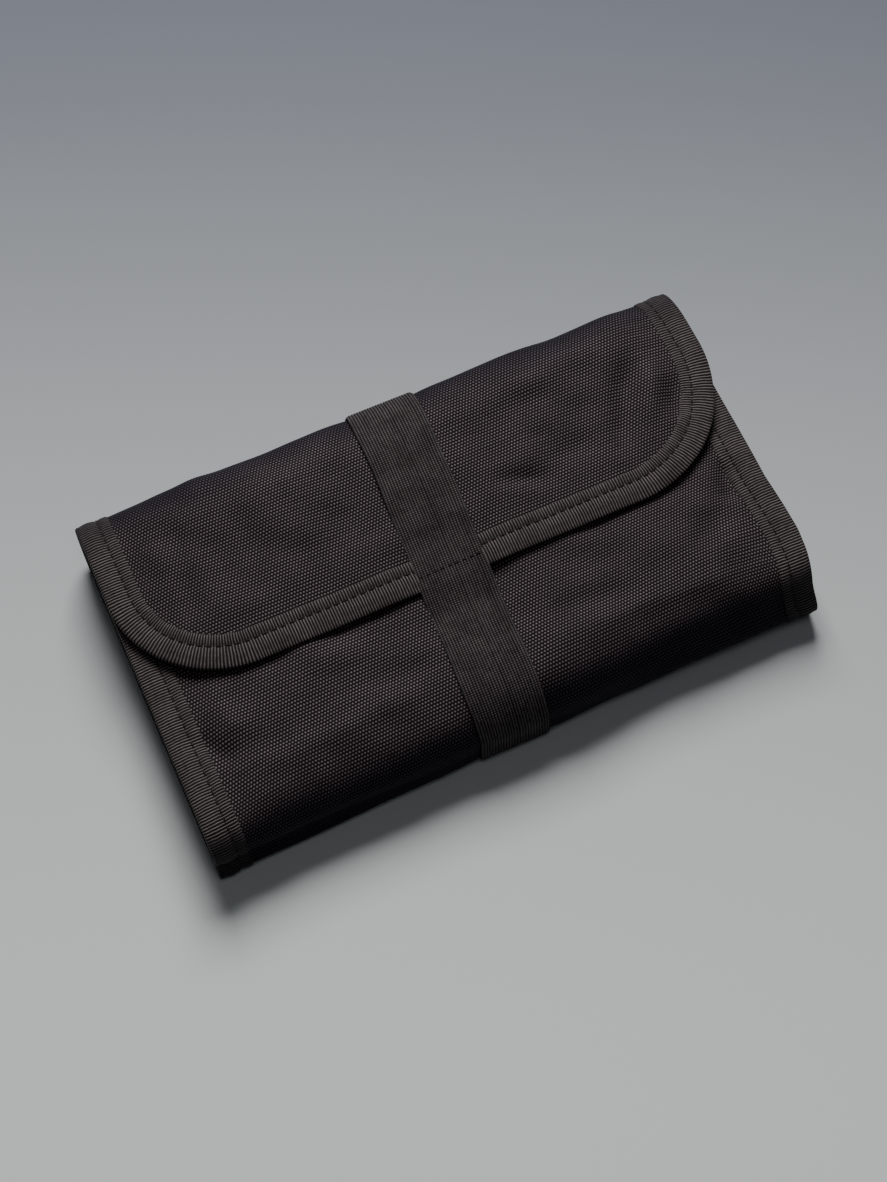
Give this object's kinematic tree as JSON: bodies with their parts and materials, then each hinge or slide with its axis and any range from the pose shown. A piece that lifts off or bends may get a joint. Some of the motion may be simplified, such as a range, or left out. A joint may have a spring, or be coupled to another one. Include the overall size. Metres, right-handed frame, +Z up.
{
  "type": "brush roll case",
  "caption": "Letter-folded padded fabric case with rounded flap, bound edges, an elastic loop and sewn brush sleeves inside.",
  "frame": {"origin": "centre of the closed case on the plane it rests on", "axes": "+X along the long side and the fold lines, +Y towards the far folded edge, +Z up"},
  "size_m": [0.228, 0.128, 0.0302],
  "materials": {
    "shell_fabric": "plain oxford weave, slight sheen",
    "lining_fabric": "smooth fine weave",
    "binding_tape": "ribbed grosgrain tape",
    "elastic": "ribbed woven elastic, matt",
    "foam_pad": "matt closed-cell foam",
    "thread": "matt polyester thread"
  },
  "bodies": {
    "back_panel": {"back_shell": "shell_fabric", "back_pad": "foam_pad", "back_lining": "lining_fabric", "back_sleeve_strip": "lining_fabric", "back_sleeve_hem": "binding_tape", "back_elastic_loops": "elastic", "back_binding_left": "binding_tape", "back_binding_right": "binding_tape"},
    "far_spine": {"far_spine_shell": "shell_fabric", "far_spine_pad": "foam_pad", "far_spine_lining": "lining_fabric", "far_spine_binding_left": "binding_tape", "far_spine_binding_right": "binding_tape"},
    "flap": {"flap_shell": "shell_fabric", "flap_pad": "foam_pad", "flap_lining": "lining_fabric", "flap_binding": "binding_tape", "elastic_band": "elastic", "band_stitching": "thread"},
    "near_spine": {"near_spine_shell": "shell_fabric", "near_spine_pad": "foam_pad", "near_spine_lining": "lining_fabric", "near_spine_binding_left": "binding_tape", "near_spine_binding_right": "binding_tape"},
    "front_panel": {"front_shell": "shell_fabric", "front_pad": "foam_pad", "front_lining": "lining_fabric", "front_sleeve_strip": "lining_fabric", "front_sleeve_hem": "binding_tape", "front_elastic_loops": "elastic", "front_binding": "binding_tape"}
  },
  "joints": [
    {"name": "unroll", "type": "hinge", "parent": "back_panel", "child": "far_spine", "pos_m": [0, 0.06083, 0.00317], "axis": [-1, 0, 0], "range_deg": [0, 88], "deforming": ["far_spine_shell", "far_spine_lining", "far_spine_binding_left", "far_spine_binding_right"]},
    {"name": "flap_fold", "type": "hinge", "parent": "far_spine", "child": "flap", "pos_m": [0, 0.05907, 0.02357], "axis": [-1, 0, 0], "range_deg": [0, 88], "deforming": ["flap_shell", "flap_pad", "flap_lining", "flap_binding", "elastic_band", "band_stitching"]},
    {"name": "near_fold", "type": "hinge", "parent": "back_panel", "child": "near_spine", "pos_m": [0, -0.06083, 0.00317], "axis": [1, 0, 0], "range_deg": [0, 90], "deforming": ["near_spine_shell", "near_spine_lining", "near_spine_binding_left", "near_spine_binding_right"]},
    {"name": "front_fold", "type": "hinge", "parent": "near_spine", "child": "front_panel", "pos_m": [0, -0.05966, 0.01986], "axis": [1, 0, 0], "range_deg": [0, 90]}
  ],
  "couplings": [
    {"joint": "flap_fold", "follows": "unroll", "ratio": 1},
    {"joint": "near_fold", "follows": "unroll", "ratio": 1.0227},
    {"joint": "front_fold", "follows": "unroll", "ratio": 1.0227}
  ]
}
